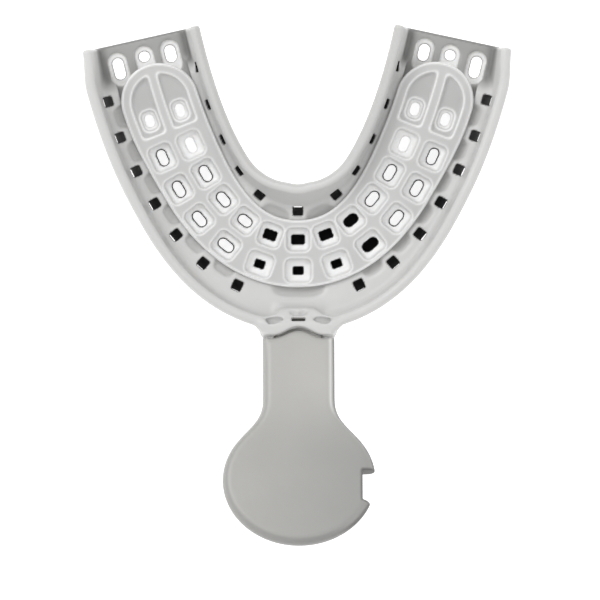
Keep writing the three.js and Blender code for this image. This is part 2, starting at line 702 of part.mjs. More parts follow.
// The handle's plan: neck and oval pad, ending in the arch at the seam.
function handlePlan() {
  const half = NECK_WIDTH / 2;
  const joinX = PAD_HALF_WIDTH * Math.cos(PAD_JOIN);
  const joinY = PAD_HALF_LENGTH * Math.sin(PAD_JOIN) - PAD_CENTRE;
  const heading = new THREE.Vector2(
    -PAD_HALF_WIDTH * Math.sin(PAD_JOIN),
    PAD_HALF_LENGTH * Math.cos(PAD_JOIN),
  ).setLength(PAD_FILLET);
  const turnX = joinX - heading.x;
  const turnY = joinY - heading.y;
  const turnStart = -NECK_LENGTH - PAD_FILLET;
  const plan = new THREE.Shape();
  plan.moveTo(-half, -CLEARANCE);
  plan.lineTo(-half, -NECK_LENGTH);
  plan.bezierCurveTo(-half, turnStart, turnX, turnY, joinX, joinY);
  const farJoin = 3 * Math.PI - PAD_JOIN;
  plan.absellipse(0, -PAD_CENTRE, PAD_HALF_WIDTH, PAD_HALF_LENGTH, PAD_JOIN, farJoin, false, 0);
  plan.bezierCurveTo(-turnX, turnY, half, turnStart, half, -NECK_LENGTH);
  plan.lineTo(half, -CLEARANCE);
  for (const point of archPoints(-CLEARANCE)) {
    plan.lineTo(point.x, point.y);
  }
  return plan;
}

// The thumb notch in the pad's right edge: square at the top, slanting out at the bottom.
function notchCutter() {
  const inner = PAD_HALF_WIDTH - NOTCH_DEPTH;
  const outer = PAD_HALF_WIDTH + 1;
  const low = -NOTCH_TOP - NOTCH_HEIGHT;
  const points = [
    new THREE.Vector2(inner, -NOTCH_TOP),
    new THREE.Vector2(inner, low + NOTCH_SLANT),
    new THREE.Vector2(outer, low - NOTCH_SLANT),
    new THREE.Vector2(outer, -NOTCH_TOP),
  ];
  return platePlan(points, -HANDLE_THICKNESS - 1, 1);
}

// A closed outline moved inward by distance, corner by corner.
function pulledIn(points, distance) {
  return points.map((point, i) => {
    const before = points[(i + points.length - 1) % points.length];
    const after = points[(i + 1) % points.length];
    const into = point.clone().sub(before).normalize();
    const out = after.clone().sub(point).normalize();
    const normal = new THREE.Vector2(-into.y - out.y, into.x + out.x).normalize();
    const squareness = Math.max(normal.dot(new THREE.Vector2(-into.y, into.x)), 0.5);
    return point.clone().addScaledVector(normal, distance / squareness);
  });
}

function handleBody() {
  const outline = [];
  for (const point of handlePlan().getPoints(PLAN_STEPS)) {
    const last = outline[outline.length - 1];
    if (!last || last.distanceTo(point) > SAME_PLACE) {
      outline.push(point);
    }
  }
  const ring = (inset, z) =>
    pulledIn(outline, inset).map((point) => new THREE.Vector3(point.x, point.y, z));
  return stack([
    ring(HANDLE_CHAMFER, -HANDLE_THICKNESS),
    ring(0, HANDLE_CHAMFER - HANDLE_THICKNESS),
    ring(0, -HANDLE_CHAMFER),
    ring(HANDLE_CHAMFER, 0),
  ]);
}

function handleSolid() {
  const root = 3;
  const top = -SOCKET_WALL - CLEARANCE;
  const tongue = new THREE.BoxGeometry(TONGUE_WIDTH, TONGUE_LENGTH + root, TONGUE_THICKNESS);
  tongue.translate(0, (TONGUE_LENGTH - root) / 2, top - TONGUE_THICKNESS / 2);
  const nub = new THREE.BoxGeometry(CATCH_WIDTH - 2 * CLEARANCE, CATCH_LENGTH / 2, 2 * NUB_HEIGHT);
  nub.translate(0, CATCH_INSET, top);
  return cut(join(toSolid(handleBody()), [tongue, nub]), [notchCutter()]);
}

function plastic(name, solid, color) {
  const material = new THREE.MeshStandardMaterial({ color, roughness: 0.42, metalness: 0 });
  const mesh = new THREE.Mesh(toGeometry(solid), material);
  mesh.name = name;
  return mesh;
}

const trayShell = plastic("tray_shell", traySolid(), 0xc9c8c4);
const spacerInsert = plastic("spacer_insert", spacerSolid(), 0xe2e2df);
const handle = plastic("handle", handleSolid(), 0xb9b8b3);
handle.applyMatrix4(handleFrame);

const tray = new THREE.Group();
tray.add(trayShell, spacerInsert, handle);

// The origin is the middle of the bounding box's underside.
const bounds = new THREE.Box3().setFromObject(tray, true);
const middle = bounds.getCenter(new THREE.Vector3());
tray.position.set(-middle.x, -middle.y, -bounds.min.z);

export default tray;
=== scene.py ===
"""A lower-arch impression tray on a pale studio floor: shell, pocketed spacer and paddle handle.

Each piece is a distance field, negative inside, worked out in millimetres in the tray's design frame,
whose origin is where the arch's spine crosses its front. The field is turned into a mesh, which is moved
to the row frame in metres. A place in the trough is (s, m, z): s runs along the spine from the front, and
m runs across the trough towards the tongue.
"""

import json
import math
from collections import namedtuple

import bpy
import numpy as np
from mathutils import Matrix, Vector


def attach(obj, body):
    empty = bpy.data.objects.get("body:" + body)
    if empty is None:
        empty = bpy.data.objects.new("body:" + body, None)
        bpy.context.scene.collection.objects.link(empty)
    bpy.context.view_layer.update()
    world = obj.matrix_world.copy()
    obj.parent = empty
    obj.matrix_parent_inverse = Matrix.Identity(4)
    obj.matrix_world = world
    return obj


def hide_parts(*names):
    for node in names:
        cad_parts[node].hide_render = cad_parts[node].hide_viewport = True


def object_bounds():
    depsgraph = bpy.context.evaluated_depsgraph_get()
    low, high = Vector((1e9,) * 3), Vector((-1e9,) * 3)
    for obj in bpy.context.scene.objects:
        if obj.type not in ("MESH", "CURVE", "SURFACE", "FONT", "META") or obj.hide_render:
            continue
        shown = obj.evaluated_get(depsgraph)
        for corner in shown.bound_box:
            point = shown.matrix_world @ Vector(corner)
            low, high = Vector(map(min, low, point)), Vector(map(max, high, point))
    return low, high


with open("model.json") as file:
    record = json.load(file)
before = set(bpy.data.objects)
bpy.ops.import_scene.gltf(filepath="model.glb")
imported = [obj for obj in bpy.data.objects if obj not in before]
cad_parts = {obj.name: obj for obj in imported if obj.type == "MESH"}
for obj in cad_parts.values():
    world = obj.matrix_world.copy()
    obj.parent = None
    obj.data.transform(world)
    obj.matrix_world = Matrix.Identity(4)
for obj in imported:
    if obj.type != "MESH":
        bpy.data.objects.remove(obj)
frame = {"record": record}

CAD_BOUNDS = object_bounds()
MM = 0.001

# Arch. A name that ends in FRONT, LEG or END holds there, and FADE says where one turns into the next.
ARCH_HALF_WIDTH, ARCH_DEPTH = 27.7, 38.5
ARCH_END_FLARE = math.radians(12.3)
ARCH_FRONT_PULL = 15.0  # how bluntly the front is rounded
ARCH_END_PULL = 20.5  # how straight the legs are

# Trough walls: buccal is the outer one, beside the cheeks, and lingual the inner one, beside the tongue
WALL, RIM_BEAD = 1.5, 1.9
BUCCAL_REACH_FRONT, BUCCAL_REACH_LEG, BUCCAL_REACH_END = 12.6, 10.6, 9.6
BUCCAL_REACH_FADE = (0, 27)
BUCCAL_END_LENGTH = 6.8  # the wall draws in over this stretch at each open end
BUCCAL_HEIGHT_FRONT, BUCCAL_HEIGHT_LEG = 9.3, 12.0
BUCCAL_HEIGHT_FADE = (8, 28)
BUCCAL_SWEEP = math.radians(82)  # how far the wall turns up from its foot to its rim
LINGUAL_REACH_FRONT, LINGUAL_REACH_LEG = 11.6, 9.7
LINGUAL_REACH_FADE = (5, 22)
LINGUAL_HEIGHT = 10.0
LINGUAL_FOOT_RADIUS = 0.6
LINGUAL_BEND = 1 / 3  # share of the wall's steps spent on its foot
FOOT_OFFSET = 1.1  # from the spacer's edge to the foot of each wall
BUCCAL_STEPS, LINGUAL_STEPS = 12, 9
RIM_START = 0.8  # share of the wall below which it keeps its plain thickness

# Spacer
CLEARANCE = 0.3
SPACER_OUTER_FRONT, SPACER_OUTER_LEG = 5.75, 6.5
SPACER_OUTER_FADE = (24, 38)
SPACER_INNER_FRONT, SPACER_INNER_LEG = 6.2, 7.3
SPACER_INNER_FADE = (6, 32)
SPACER_THICKNESS, SPACER_END_MARGIN = 3.2, 4.8
POCKETS_PER_LEG, ROW_OFFSET = 5, 2.75
POCKET_LENGTH, POCKET_WIDTH, POCKET_DEPTH = 4.8, 4.3, 1.8
POCKET_DRAFT, POCKET_CORNER, POCKET_WEB = 0.35, 1.1, 0.8
POCKET_D_WEB = 1.5  # between the last square pockets and the D-shaped ones
D_LENGTH, D_DEPTH, D_RIB, D_BORDER, D_CORNER = 10.5, 0.9, 1.7, 1.8, 0.9
D_WELL_LENGTH, D_WELL_WIDTH = 3.7, 2.8  # the deeper pocket round each hole in a D-shaped one
D_HOLE_PLACE, D_HOLE_OFFSET = 2.8, 2.85  # from the pocket's near edge, and from the rib's middle

# Slots through the pockets' floors, and the larger holes through the trough below them
SLOT_LENGTH, SLOT_WIDTH = 3.4, 2.1
D_SLOT_LENGTH = 2.9
FRONT_PLACES = 2  # pockets nearer the front than this have the smaller, squarer slots
FRONT_SLOT_OUTER, FRONT_SLOT_INNER, FRONT_SLOT_CORNER = (2.1, 1.7), (2.6, 2.0), 0.4
SLOT_TIGHTENING = 0.1  # offsets the draft and the softened edge
SLOT_DRAFT = 0.15
SLOT_MARGIN = 0.25  # the trough's holes are this much larger all round

# Fine raised lines round the pockets and the flange
LINE_WIDTH, LINE_HEIGHT = 0.2, 0.12
LINE_OFFSET, RIM_LINE_OFFSET = 0.1, 0.3

# Ledges and the dishes in them
LEDGE_DROP = 0.9  # from the spacer's top down to the ledge
LEDGE_OVERLAP = 0.6  # how far the spacer's flange stands out past its body
LEDGE_SLOPE = 0.15  # the ledge rises a little towards the wall
LEDGE_END_MARGIN, LEDGE_RUN_DOWN = 4.2, 4.5
LEDGE_SUNK = 0.6  # its top ends this far inside the floor
SCALLOP_LENGTH, SCALLOP_WIDTH, SCALLOP_DEPTH = 3.8, 1.5, 0.8
FRONT_SCALLOP_LENGTH, INNER_SCALLOP_LENGTH = 8.8, 5.0

# Recesses in the bare floor at each open end
END_ROWS = (-5.0, -0.15, 4.5)
END_SLOT_LENGTHS = (3.8, 1.8, 3.0)
END_SLOT_WIDTH = 1.9
END_SLOT_INSET = 1.0  # from the recess's far edge to its slot
END_WIDTH, END_LENGTH, END_DEPTH, END_MARGIN = 3.4, 6.0, 0.7, 1.3

# Windows
BUCCAL_WINDOWS, BUCCAL_WINDOW_START, BUCCAL_WINDOW_MARGIN = 7, 7.7, 9.1
BUCCAL_WINDOW_GROWTH = 0.1  # how much the spacing grows towards the open end
BUCCAL_WINDOW_OFFSET, BUCCAL_WINDOW_LEAN = 2.15, math.radians(26)
LINGUAL_WINDOWS, LINGUAL_WINDOW_START, LINGUAL_WINDOW_MARGIN = 5, 13.2, 7.6
LINGUAL_WINDOW_OFFSET = 1.7
LINGUAL_LIFT_FRONT, LINGUAL_LIFT_LEG = 0.3, 0.8  # how far its middle lies above the ledge
LINGUAL_LEAN_FRONT, LINGUAL_LEAN_LEG = math.radians(30), math.radians(65)
LINGUAL_LEAN_FADE = (8, 28)
WINDOW_SIZE, WINDOW_CORNER, WINDOW_CUT = 1.7, 0.25, 12.0

# Handle
HANDLE_TILT = math.radians(18)
SEAM_Y, SEAM_Z = -14.0, 9.6
HANDLE_THICKNESS, HANDLE_CHAMFER = 3.2, 0.9
NECK_WIDTH, NECK_LENGTH = 12.7, 11.7
PAD_HALF_WIDTH, PAD_HALF_LENGTH, PAD_CENTRE = 13.5, 12.0, 26.6
PAD_JOIN = math.radians(145)  # where round the oval the neck's fillet lands
PAD_FILLET = 3.9
NOTCH_TOP, NOTCH_HEIGHT, NOTCH_DEPTH, NOTCH_SLANT = 25.15, 5.9, 2.3, 0.6
SEAM_RISE, SEAM_SPAN = 1.4, 9.0
OUTLINE_PAST_SEAM = 3.0  # how far the neck's outline runs past the seam before it is trimmed
PAD_FILLET_STEPS, PAD_STEPS = 16, 80
TONGUE_WIDTH, TONGUE_LENGTH, TONGUE_THICKNESS = 8.0, 4.0, 1.6
TONGUE_ROOT = 3.0  # how far the tongue runs back into the neck

# Socket
SOCKET_WALL, SOCKET_BATTER, SOCKET_TOE = 1.0, 2.2, 2.4
SOCKET_LAP = 2.0  # how far the block runs past the seam before its mouth is cut
SOCKET_SHOULDER, SHOULDER_PLACE, SHOULDER_SPREAD = 0.5, 1.6, 0.8
SOCKET_NARROWING, NARROWING_START = 2.8, 1.2
CATCH_WIDTH, CATCH_LENGTH, CATCH_INSET, CATCH_CORNER = 2.5, 0.8, 2.7, 0.25
NUB_HEIGHT = 0.2
DIMPLE_DEPTH = 0.55

# Heights that follow from these
SPACER_BOTTOM = WALL + CLEARANCE
SPACER_TOP = SPACER_BOTTOM + SPACER_THICKNESS
LEDGE_TOP = SPACER_TOP - LEDGE_DROP
CAVITY_HEIGHT = TONGUE_THICKNESS + 2 * CLEARANCE
SOCKET_HEIGHT = CAVITY_HEIGHT + 2 * SOCKET_WALL

# Radii that soften the edges and corners
FILLET = 0.9
EDGE, SMALL_EDGE, HOLE_EDGE = 0.35, 0.2, 0.15
OPEN_END_EDGE, SCALLOP_EDGE = 0.6, 0.6
POCKET_FOOT, D_FOOT, WELL_FOOT = 0.6, 0.4, 0.5
FLANGE_EDGE = 0.3
SOCKET_BLEND, SOCKET_ROUNDING = 1.8, 1.5
SEAM_EDGE, FACE_EDGE, CHAMFER_EDGE, NOTCH_EDGE, TONGUE_EDGE = 0.4, 0.1, 0.5, 0.3, 0.3

STEP = 0.25  # the meshes' cell size
BEYOND = 1.0  # how far a cut runs past the face that it opens

mounts = {mount["name"]: mount for mount in frame["record"]["mounts"]}
DESIGN_Y = mounts["base"]["pos_m"][1] / MM  # the design frame's origin in the row frame


# ---------------------------------------------------------------- distance fields

def lerp(a, b, t):
    return a + (b - a) * t


def fade(x, low, high):
    """Smoothly from zero at low to one at high."""
    t = np.clip((x - low) / (high - low), 0, 1)
    return t * t * (3 - 2 * t)


def soft_min(a, b, radius):
    """Union with a fillet of about that radius."""
    h = np.clip(0.5 + 0.5 * (b - a) / radius, 0, 1)
    return lerp(b, a, h) - radius * h * (1 - h)


def soft_max(a, b, radius):
    """Intersection with rounded edges. soft_max(body, -tool, r) cuts the tool away."""
    return -soft_min(-a, -b, radius)


def rounded_box(u, v, length, width, corner):
    """Distance in plan to a rounded rectangle centred on u = v = 0."""
    corner = min(corner, length / 2, width / 2)
    a = np.abs(u) - length / 2 + corner
    b = np.abs(v) - width / 2 + corner
    return np.minimum(np.maximum(a, b), 0) + np.hypot(np.maximum(a, 0), np.maximum(b, 0)) - corner


def polygon(x, y, points):
    """Distance in plan to a closed polygon, negative inside."""
    inside = np.zeros(np.broadcast(x, y).shape, bool)
    nearest = np.full(inside.shape, 1e9)
    for (ax, ay), (bx, by) in zip(points, points[1:] + points[:1]):
        ex, ey = bx - ax, by - ay
        t = np.clip(((x - ax) * ex + (y - ay) * ey) / (ex * ex + ey * ey), 0, 1)
        nearest = np.minimum(nearest, (x - ax - t * ex) ** 2 + (y - ay - t * ey) ** 2)
        if ay != by:
            crossed = ((ay > y) != (by > y)) & (x < ex * (y - ay) / ey + ax)
            inside ^= crossed
    return np.where(inside, -1, 1) * np.sqrt(nearest)


# ---------------------------------------------------------------- the arch

def bezier(points, t):
    """Points on a cubic curve at the shares t."""
    a, b, c, d = (np.array(p, float) for p in points)
    t = np.asarray(t, float)[:, None]
    return (1 - t) ** 3 * a + 3 * (1 - t) ** 2 * t * b + 3 * (1 - t) * t * t * c + t ** 3 * d


def make_spine():
    """The right half of the spine as dense points, tangents and lengths, run on past both ends."""
    end = (ARCH_HALF_WIDTH, ARCH_DEPTH)
    lead = (
        end[0] - ARCH_END_PULL * math.sin(ARCH_END_FLARE),
        end[1] - ARCH_END_PULL * math.cos(ARCH_END_FLARE),
    )
    curve = bezier([(0, 0), (ARCH_FRONT_PULL, 0), lead, end], np.linspace(0, 1, 700))
    spacing = 0.08
    past = np.arange(1, 80)[:, None] * spacing
    heading = np.array([math.sin(ARCH_END_FLARE), math.cos(ARCH_END_FLARE)])
    points = np.vstack([curve, curve[-1] + past * heading])
    lengths = np.concatenate([[0], np.cumsum(np.hypot(*np.diff(points, axis=0).T))])
    tangents = np.gradient(points, lengths, axis=0)
    tangents /= np.hypot(*tangents.T)[:, None]
    tangents[0] = (1, 0)
    return points, tangents, lengths, lengths[len(curve) - 1]


SPINE, TANGENTS, LENGTHS, LEG = make_spine()
SPACER_END = LEG - SPACER_END_MARGIN


def arch_frame(s, m):
    """The point at (s, m) on the right leg, and the spine's tangent there."""
    base = np.array([np.interp(s, LENGTHS, SPINE[:, k]) for k in (0, 1)])
    along = np.array([np.interp(s, LENGTHS, TANGENTS[:, k]) for k in (0, 1)])
    along /= np.hypot(*along)
    return base + m * np.array([-along[1], along[0]]), along


def to_arch(x, y):
    """(s, m) of points in plan, mirrored onto the right leg."""
    flat = np.stack([np.abs(np.ravel(x)), np.ravel(y)], 1)
    s, m = np.empty(len(flat)), np.empty(len(flat))
    for start in range(0, len(flat), 4000):
        part = flat[start : start + 4000]
        gap = ((part[:, None] - SPINE[None]) ** 2).sum(2)
        k = gap.argmin(1)
        away = part - SPINE[k]
        s[start : start + 4000] = LENGTHS[k] + (away * TANGENTS[k]).sum(1)
        m[start : start + 4000] = away[:, 1] * TANGENTS[k, 0] - away[:, 0] * TANGENTS[k, 1]
    return s.reshape(np.shape(x)), m.reshape(np.shape(x))


class ArchMap:
    """(s, m) over the whole plan, worked out once on a grid and read between its points."""

    def __init__(self, step=STEP, reach_x=40.0, low_y=-18.0, high_y=44.0):
        self.step, self.low_y = step, low_y
        self.xs = np.arange(0, reach_x + step, step)
        self.ys = np.arange(low_y, high_y + step, step)
        self.s, self.m = to_arch(*np.meshgrid(self.xs, self.ys, indexing="ij"))

    def read(self, x, y):
        a = np.clip(np.abs(x) / self.step, 0, len(self.xs) - 1.001)
        b = np.clip((y - self.low_y) / self.step, 0, len(self.ys) - 1.001)
        i, j = a.astype(int), b.astype(int)
        u, v = a - i, b - j

        def between(grid):
            near = lerp(grid[i, j], grid[i + 1, j], u)
            far = lerp(grid[i, j + 1], grid[i + 1, j + 1], u)
            return lerp(near, far, v)

        return between(self.s), between(self.m)


ARCH = ArchMap()


class Place:
    """Points in the design frame with their arch coordinates, and in the handle's frame."""

    def __init__(self, x, y, z):
        self.x, self.y, self.z = x, y, z
        self.s, self.m = ARCH.read(x, y)
        c, s = math.cos(HANDLE_TILT), math.sin(HANDLE_TILT)
        self.hy = (y - SEAM_Y) * c - (z - SEAM_Z) * s
        self.hz = (y - SEAM_Y) * s + (z - SEAM_Z) * c

    def beside(self, s, m):
        """Offsets in plan along and across the spine from (s, m) on this point's own leg."""
        (px, py), (tx, ty) = arch_frame(s, m)
        dx, dy = np.abs(self.x) - px, self.y - py
        return dx * tx + dy * ty, dy * tx - dx * ty


def buccal_reach(s):
    reach = lerp(BUCCAL_REACH_FRONT, BUCCAL_REACH_LEG, fade(s, *BUCCAL_REACH_FADE))
    return lerp(reach, BUCCAL_REACH_END, fade(s, LEG - BUCCAL_END_LENGTH, LEG))


def buccal_height(s):
    return lerp(BUCCAL_HEIGHT_FRONT, BUCCAL_HEIGHT_LEG, fade(s, *BUCCAL_HEIGHT_FADE))


def lingual_reach(s):
    return lerp(LINGUAL_REACH_FRONT, LINGUAL_REACH_LEG, fade(s, *LINGUAL_REACH_FADE))


def spacer_outer(s):
    return lerp(SPACER_OUTER_FRONT, SPACER_OUTER_LEG, fade(s, *SPACER_OUTER_FADE))


def spacer_inner(s):
    return lerp(SPACER_INNER_FRONT, SPACER_INNER_LEG, fade(s, *SPACER_INNER_FADE))


def ledge_height(s):
    end = LEG - LEDGE_END_MARGIN
    return lerp(LEDGE_TOP, WALL - LEDGE_SUNK, fade(s, end - LEDGE_RUN_DOWN, end))


def buccal_wall(s, share):
    """The wall's middle line, from its foot (share 0) to its rim (share 1), as (m, z)."""
    angle = share * BUCCAL_SWEEP
    run = math.sin(angle) / math.sin(BUCCAL_SWEEP)
    rise = (1 - math.cos(angle)) / (1 - math.cos(BUCCAL_SWEEP))
    m = -lerp(spacer_outer(s) + FOOT_OFFSET, buccal_reach(s), run)
    return m, lerp(WALL / 2, buccal_height(s) - RIM_BEAD / 2, rise)


def lingual_wall(s, share):
    """The same for the wall beside the tongue: a short curved foot, then straight to the rim."""
    knee = spacer_inner(s) + FOOT_OFFSET
    reach = lingual_reach(s)
    rise = LINGUAL_HEIGHT - (RIM_BEAD + WALL) / 2
    slope = np.hypot(reach - knee, rise)
    across, up = (reach - knee) / slope, rise / slope
    if share < LINGUAL_BEND:
        t = share / LINGUAL_BEND
        m = knee - LINGUAL_FOOT_RADIUS * (1 - t) ** 2 + LINGUAL_FOOT_RADIUS * across * t * t
        return m, WALL / 2 + LINGUAL_FOOT_RADIUS * up * t * t
    run = lerp(LINGUAL_FOOT_RADIUS, slope, (share - LINGUAL_BEND) / (1 - LINGUAL_BEND))
    return knee + run * across, WALL / 2 + run * up


def spread(count, first, last, growth=0.0):
    """Places from the first to the last, evenly or with a spacing that grows."""
    shares = [i / (count - 1) for i in range(count)]
    return [lerp(first, last, t - growth * t * (1 - t)) for t in shares]


BUCCAL_END = LEG - BUCCAL_WINDOW_MARGIN
BUCCAL_PLACES = spread(BUCCAL_WINDOWS, BUCCAL_WINDOW_START, BUCCAL_END, BUCCAL_WINDOW_GROWTH)
LINGUAL_PLACES = [0.0] + spread(LINGUAL_WINDOWS, LINGUAL_WINDOW_START, LEG - LINGUAL_WINDOW_MARGIN)

SCALLOP_PLACES = [(a + b) / 2 for a, b in zip(BUCCAL_PLACES, BUCCAL_PLACES[1:])]

D_NEAR = SPACER_END - D_BORDER - D_LENGTH
POCKET_PITCH = (D_NEAR - POCKET_D_WEB - POCKET_LENGTH / 2) / POCKETS_PER_LEG
D_AXIS = (SPACER_INNER_LEG - SPACER_OUTER_LEG) / 2
D_HOLES = [(D_NEAR + D_HOLE_PLACE, D_AXIS + side * D_HOLE_OFFSET) for side in (-1, 1)]


Slot = namedtuple("Slot", "s m length width corner group")
ALL_SLOTS = ("front", "corner", "leg", "last")


def pocket_list():
    """The right half's square pockets as (s, m, length), and the slots through their floors."""
    pockets, slots = [], []
    for place in range(POCKETS_PER_LEG + 1):
        for m in (-ROW_OFFSET, ROW_OFFSET):
            s = place * POCKET_PITCH
            before, after = max(s - 0.5, 0), s + 0.5
            gap = np.hypot(*(arch_frame(after, m)[0] - arch_frame(before, m)[0]))
            length = min(POCKET_LENGTH, POCKET_PITCH * gap / (after - before) - POCKET_WEB)
            pockets.append((s, m, length))
            room = length - 4 * POCKET_DRAFT
            if place < FRONT_PLACES:
                long, wide = FRONT_SLOT_OUTER if m < 0 else FRONT_SLOT_INNER
                slots.append(Slot(s, m, min(long, room), wide, FRONT_SLOT_CORNER, "front"))
                continue
            group = "corner" if place == FRONT_PLACES else "leg"
            group = "last" if place == POCKETS_PER_LEG and m > 0 else group
            slots.append(Slot(s, m, min(SLOT_LENGTH, room), SLOT_WIDTH, SLOT_WIDTH / 2, group))
    slots += [Slot(s, m, D_SLOT_LENGTH, SLOT_WIDTH, SLOT_WIDTH / 2, "last") for s, m in D_HOLES]
    return pockets, slots


POCKETS, SLOTS = pocket_list()


def nearest_box(p, boxes):
    """Distance in plan to the nearest rounded rectangle, each given as (s, m, length, width, corner)."""
    found = []
    for s, m, *size in boxes:
        u, v = p.beside(s, m)
        found.append(rounded_box(u, v, *size))
    return np.min(found, axis=0)


# ---------------------------------------------------------------- the shell

def trough_section(p):
    """Distance to the swept wall: a rounded strip along its middle line, fuller at each rim."""
    shares = [i / BUCCAL_STEPS for i in range(BUCCAL_STEPS, -1, -1)]
    line = [(*buccal_wall(p.s, share), share) for share in shares]
    shares = [i / LINGUAL_STEPS for i in range(LINGUAL_STEPS + 1)]
    line += [(*lingual_wall(p.s, share), share) for share in shares]
    best = None
    for (am, az, a_rise), (bm, bz, b_rise) in zip(line, line[1:]):
        ra, rb = (lerp(WALL, RIM_BEAD, fade(rise, RIM_START, 1.0)) / 2 for rise in (a_rise, b_rise))
        em, ez = bm - am, bz - az
        t = np.clip(((p.m - am) * em + (p.z - az) * ez) / (em * em + ez * ez), 0, 1)
        gap = np.hypot(p.m - am - t * em, p.z - az - t * ez) - lerp(ra, rb, t)
        best = gap if best is None else np.minimum(best, gap)
    return best


def wall_middle(p):
    """The height of the walls' middle lines at (s, m)."""
    foot = spacer_outer(p.s) + FOOT_OFFSET
    run = np.clip((-p.m - foot) / (buccal_reach(p.s) - foot), 0, 1)
    turned = 1 - np.sqrt(1 - (run * math.sin(BUCCAL_SWEEP)) ** 2)
    rise = (buccal_height(p.s) - (RIM_BEAD + WALL) / 2) / (1 - math.cos(BUCCAL_SWEEP))
    knee = spacer_inner(p.s) + FOOT_OFFSET
    slope = (LINGUAL_HEIGHT - (RIM_BEAD + WALL) / 2) / (lingual_reach(p.s) - knee)
    return WALL / 2 + np.where(p.m < 0, turned * rise, np.maximum(p.m - knee, 0) * slope)


def ledges(p):
    """The fill between the spacer's well and both walls, its top just under the spacer's flange."""
    buccal = p.m < 0
    edge = np.where(buccal, spacer_outer(p.s), spacer_inner(p.s))
    out = np.abs(p.m) - edge + LEDGE_OVERLAP - CLEARANCE
    top = p.z - ledge_height(p.s) - LEDGE_SLOPE * out
    past_rim = np.where(buccal, -p.m - buccal_reach(p.s), p.m - lingual_reach(p.s))
    fill = np.maximum(np.maximum(-out, wall_middle(p) - p.z), past_rim)
    return soft_max(fill, top, SMALL_EDGE)


def window(p, s, m, z, lean):
    """A square hole whose axis passes through (s, m, z), leaning outwards going down."""
    side = -1 if m < 0 else 1
    u, v = p.beside(s, m)
    over = v * math.cos(lean) + side * (p.z - z) * math.sin(lean)
    through = (p.z - z) * math.cos(lean) - side * v * math.sin(lean)
    hole = rounded_box(u, over, WINDOW_SIZE, WINDOW_SIZE, WINDOW_CORNER)
    return np.maximum(hole, np.abs(through) - WINDOW_CUT / 2)


def windows(p):
    found = []
    for s in BUCCAL_PLACES:
        m = -spacer_outer(s) - BUCCAL_WINDOW_OFFSET
        found.append(window(p, s, m, LEDGE_TOP, BUCCAL_WINDOW_LEAN))
    for s in LINGUAL_PLACES:
        m = spacer_inner(s) + LINGUAL_WINDOW_OFFSET
        lean = lerp(LINGUAL_LEAN_FRONT, LINGUAL_LEAN_LEG, fade(s, *LINGUAL_LEAN_FADE))
        lift = lerp(LINGUAL_LIFT_FRONT, LINGUAL_LIFT_LEG, fade(s, *LINGUAL_LEAN_FADE))
        found.append(window(p, s, m, LEDGE_TOP + lift, lean))
    return np.min(found, axis=0)


def scallops(p):
    """Shallow dishes in the ledges between the windows, deepest beside the spacer."""
    inner = LINGUAL_WINDOW_START / 2
    places = [(0, -spacer_outer(0), FRONT_SCALLOP_LENGTH)]
    places += [(inner, spacer_inner(inner), INNER_SCALLOP_LENGTH)]
    places += [(s, -spacer_outer(s), SCALLOP_LENGTH) for s in SCALLOP_PLACES]
    found = []
    for s, m, length in places:
        u, v = p.beside(s, m)
        depth = (p.z - LEDGE_TOP) / SCALLOP_DEPTH
        reach = np.sqrt((2 * u / length) ** 4 + (v / SCALLOP_WIDTH) ** 2 + depth ** 2)
        found.append((reach - 1) * SCALLOP_DEPTH)
    return np.min(found, axis=0)


def slots_plan(p, groups, grow=0.0):
    """Distance in plan to the slots of these groups, larger all round by grow."""
    return nearest_box(p, [
        (slot.s, slot.m, slot.length + 2 * grow, slot.width + 2 * grow, slot.corner + grow)
        for slot in SLOTS if slot.group in groups
    ])


def floor_holes(p):
    """The trough's open holes. The front ones and the right half's corner ones are blind."""
    corner = np.maximum(slots_plan(p, ["corner"], SLOT_MARGIN), p.x)
    through = slots_plan(p, ["leg", "last"], SLOT_MARGIN)
    return np.minimum(np.minimum(through, corner), end_slots(p))


def end_recesses(p):
    s = LEG - END_MARGIN - END_LENGTH / 2
    return nearest_box(p, [(s, m, END_LENGTH, END_WIDTH, END_WIDTH / 2) for m in END_ROWS])


def end_slots(p):
    far = LEG - END_MARGIN - END_SLOT_INSET
    return nearest_box(p, [
        (far - length / 2, m, length, END_SLOT_WIDTH, END_SLOT_WIDTH / 2)
        for m, length in zip(END_ROWS, END_SLOT_LENGTHS)
    ])


def seam_arch(x):
    """How far the seam's arch rises towards the tray at x."""
    return SEAM_RISE * np.cos(np.clip(x / SEAM_SPAN, -0.5, 0.5) * math.pi) ** 2


def socket(p):
    """The block round the handle's tongue, in the handle's frame."""
    depth = TONGUE_LENGTH + CLEARANCE + SOCKET_WALL
    r = SOCKET_ROUNDING
    side = polygon(p.hy, p.hz, [
        (-SOCKET_LAP, -r), (-SOCKET_LAP, r - SOCKET_HEIGHT), (0.0, r - SOCKET_HEIGHT),
        (depth + SOCKET_BATTER - r, -SOCKET_HEIGHT - SOCKET_TOE), (depth - r, -r),
    ]) - r
    shoulder = SOCKET_SHOULDER * np.exp(-((p.hy - SHOULDER_PLACE) / SHOULDER_SPREAD) ** 2)
    narrowing = SOCKET_NARROWING * fade(p.hy, NARROWING_START, depth)
    width = np.abs(p.x) - NECK_WIDTH / 2 - shoulder + narrowing
    return soft_max(side, width, SOCKET_ROUNDING)


